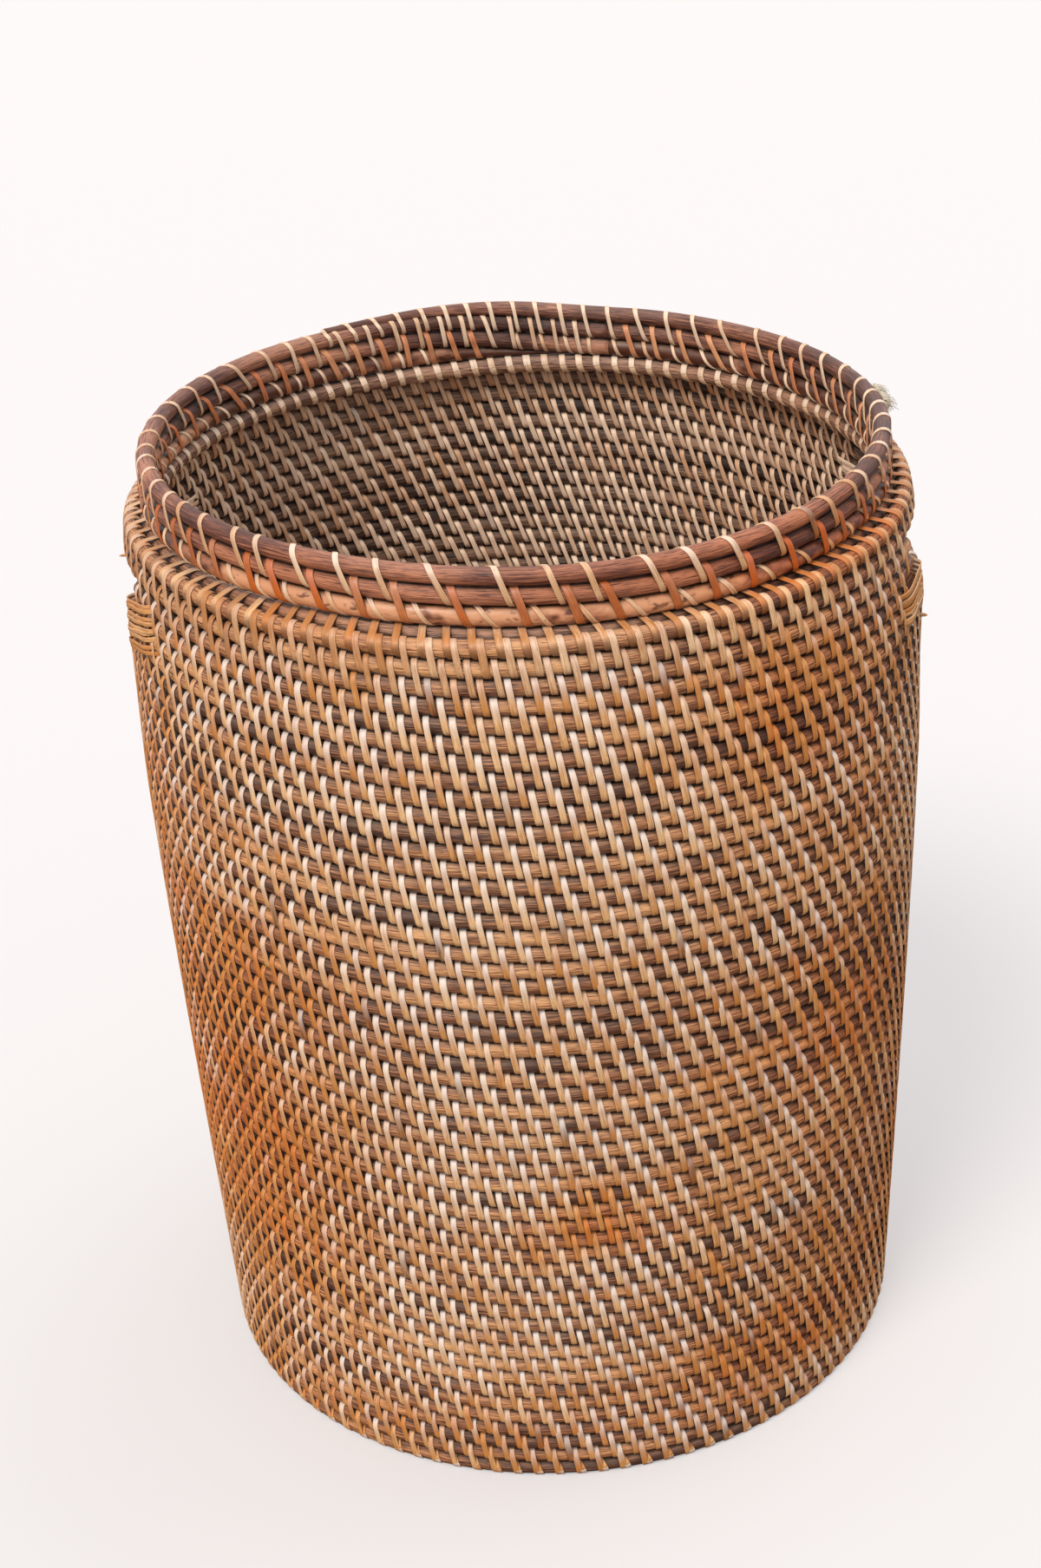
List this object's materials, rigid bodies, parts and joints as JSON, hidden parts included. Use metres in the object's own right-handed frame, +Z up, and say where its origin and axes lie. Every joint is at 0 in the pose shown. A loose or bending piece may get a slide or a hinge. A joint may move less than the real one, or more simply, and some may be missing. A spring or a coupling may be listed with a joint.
{
  "type": "laundry basket",
  "caption": "Tall round laundry basket of coiled rattan rods bound with cane, open at the top, with a raised collar rim and two hand-holes.",
  "frame": {"origin": "middle of the underside, on the plane that the basket stands on", "axes": "+Z up along the basket's axis; the hand-holes lie on +X and -X"},
  "size_m": [0.399, 0.399, 0.5146],
  "materials": {
    "wall_rattan": "peeled rattan rods, stained brown and lightly worn, satin",
    "rim_rattan": "rattan rod of the ledge, brown, satin",
    "collar_rattan": "dark red-brown rattan rods, rubbed smooth",
    "base_rattan": "brown rattan rods, less worn than the wall",
    "binding_cane": "flat cane strips, tan to honey, slightly glossy on the outer skin"
  },
  "bodies": {
    "root": {"base_coil": "base_rattan", "wall_pole_01": "wall_rattan", "wall_pole_02": "wall_rattan", "wall_pole_03": "wall_rattan", "wall_pole_04": "wall_rattan", "wall_pole_05": "wall_rattan", "wall_pole_06": "wall_rattan", "wall_pole_07": "wall_rattan", "wall_pole_08": "wall_rattan", "wall_pole_09": "wall_rattan", "wall_pole_10": "wall_rattan", "wall_pole_11": "wall_rattan", "wall_pole_12": "wall_rattan", "wall_pole_13": "wall_rattan", "wall_pole_14": "wall_rattan", "wall_pole_15": "wall_rattan", "wall_pole_16": "wall_rattan", "hole_side_rods_back": "wall_rattan", "hole_side_rods_front": "wall_rattan", "edge_lashing_right_back": "binding_cane", "edge_lashing_left_back": "binding_cane", "edge_lashing_left_front": "binding_cane", "edge_lashing_right_front": "binding_cane", "grip_rod": "wall_rattan", "shoulder_rod": "wall_rattan", "ledge_rod": "rim_rattan", "collar_rod_01": "collar_rattan", "collar_rod_02": "collar_rattan", "collar_rod_03": "collar_rattan"}
  },
  "joints": []
}
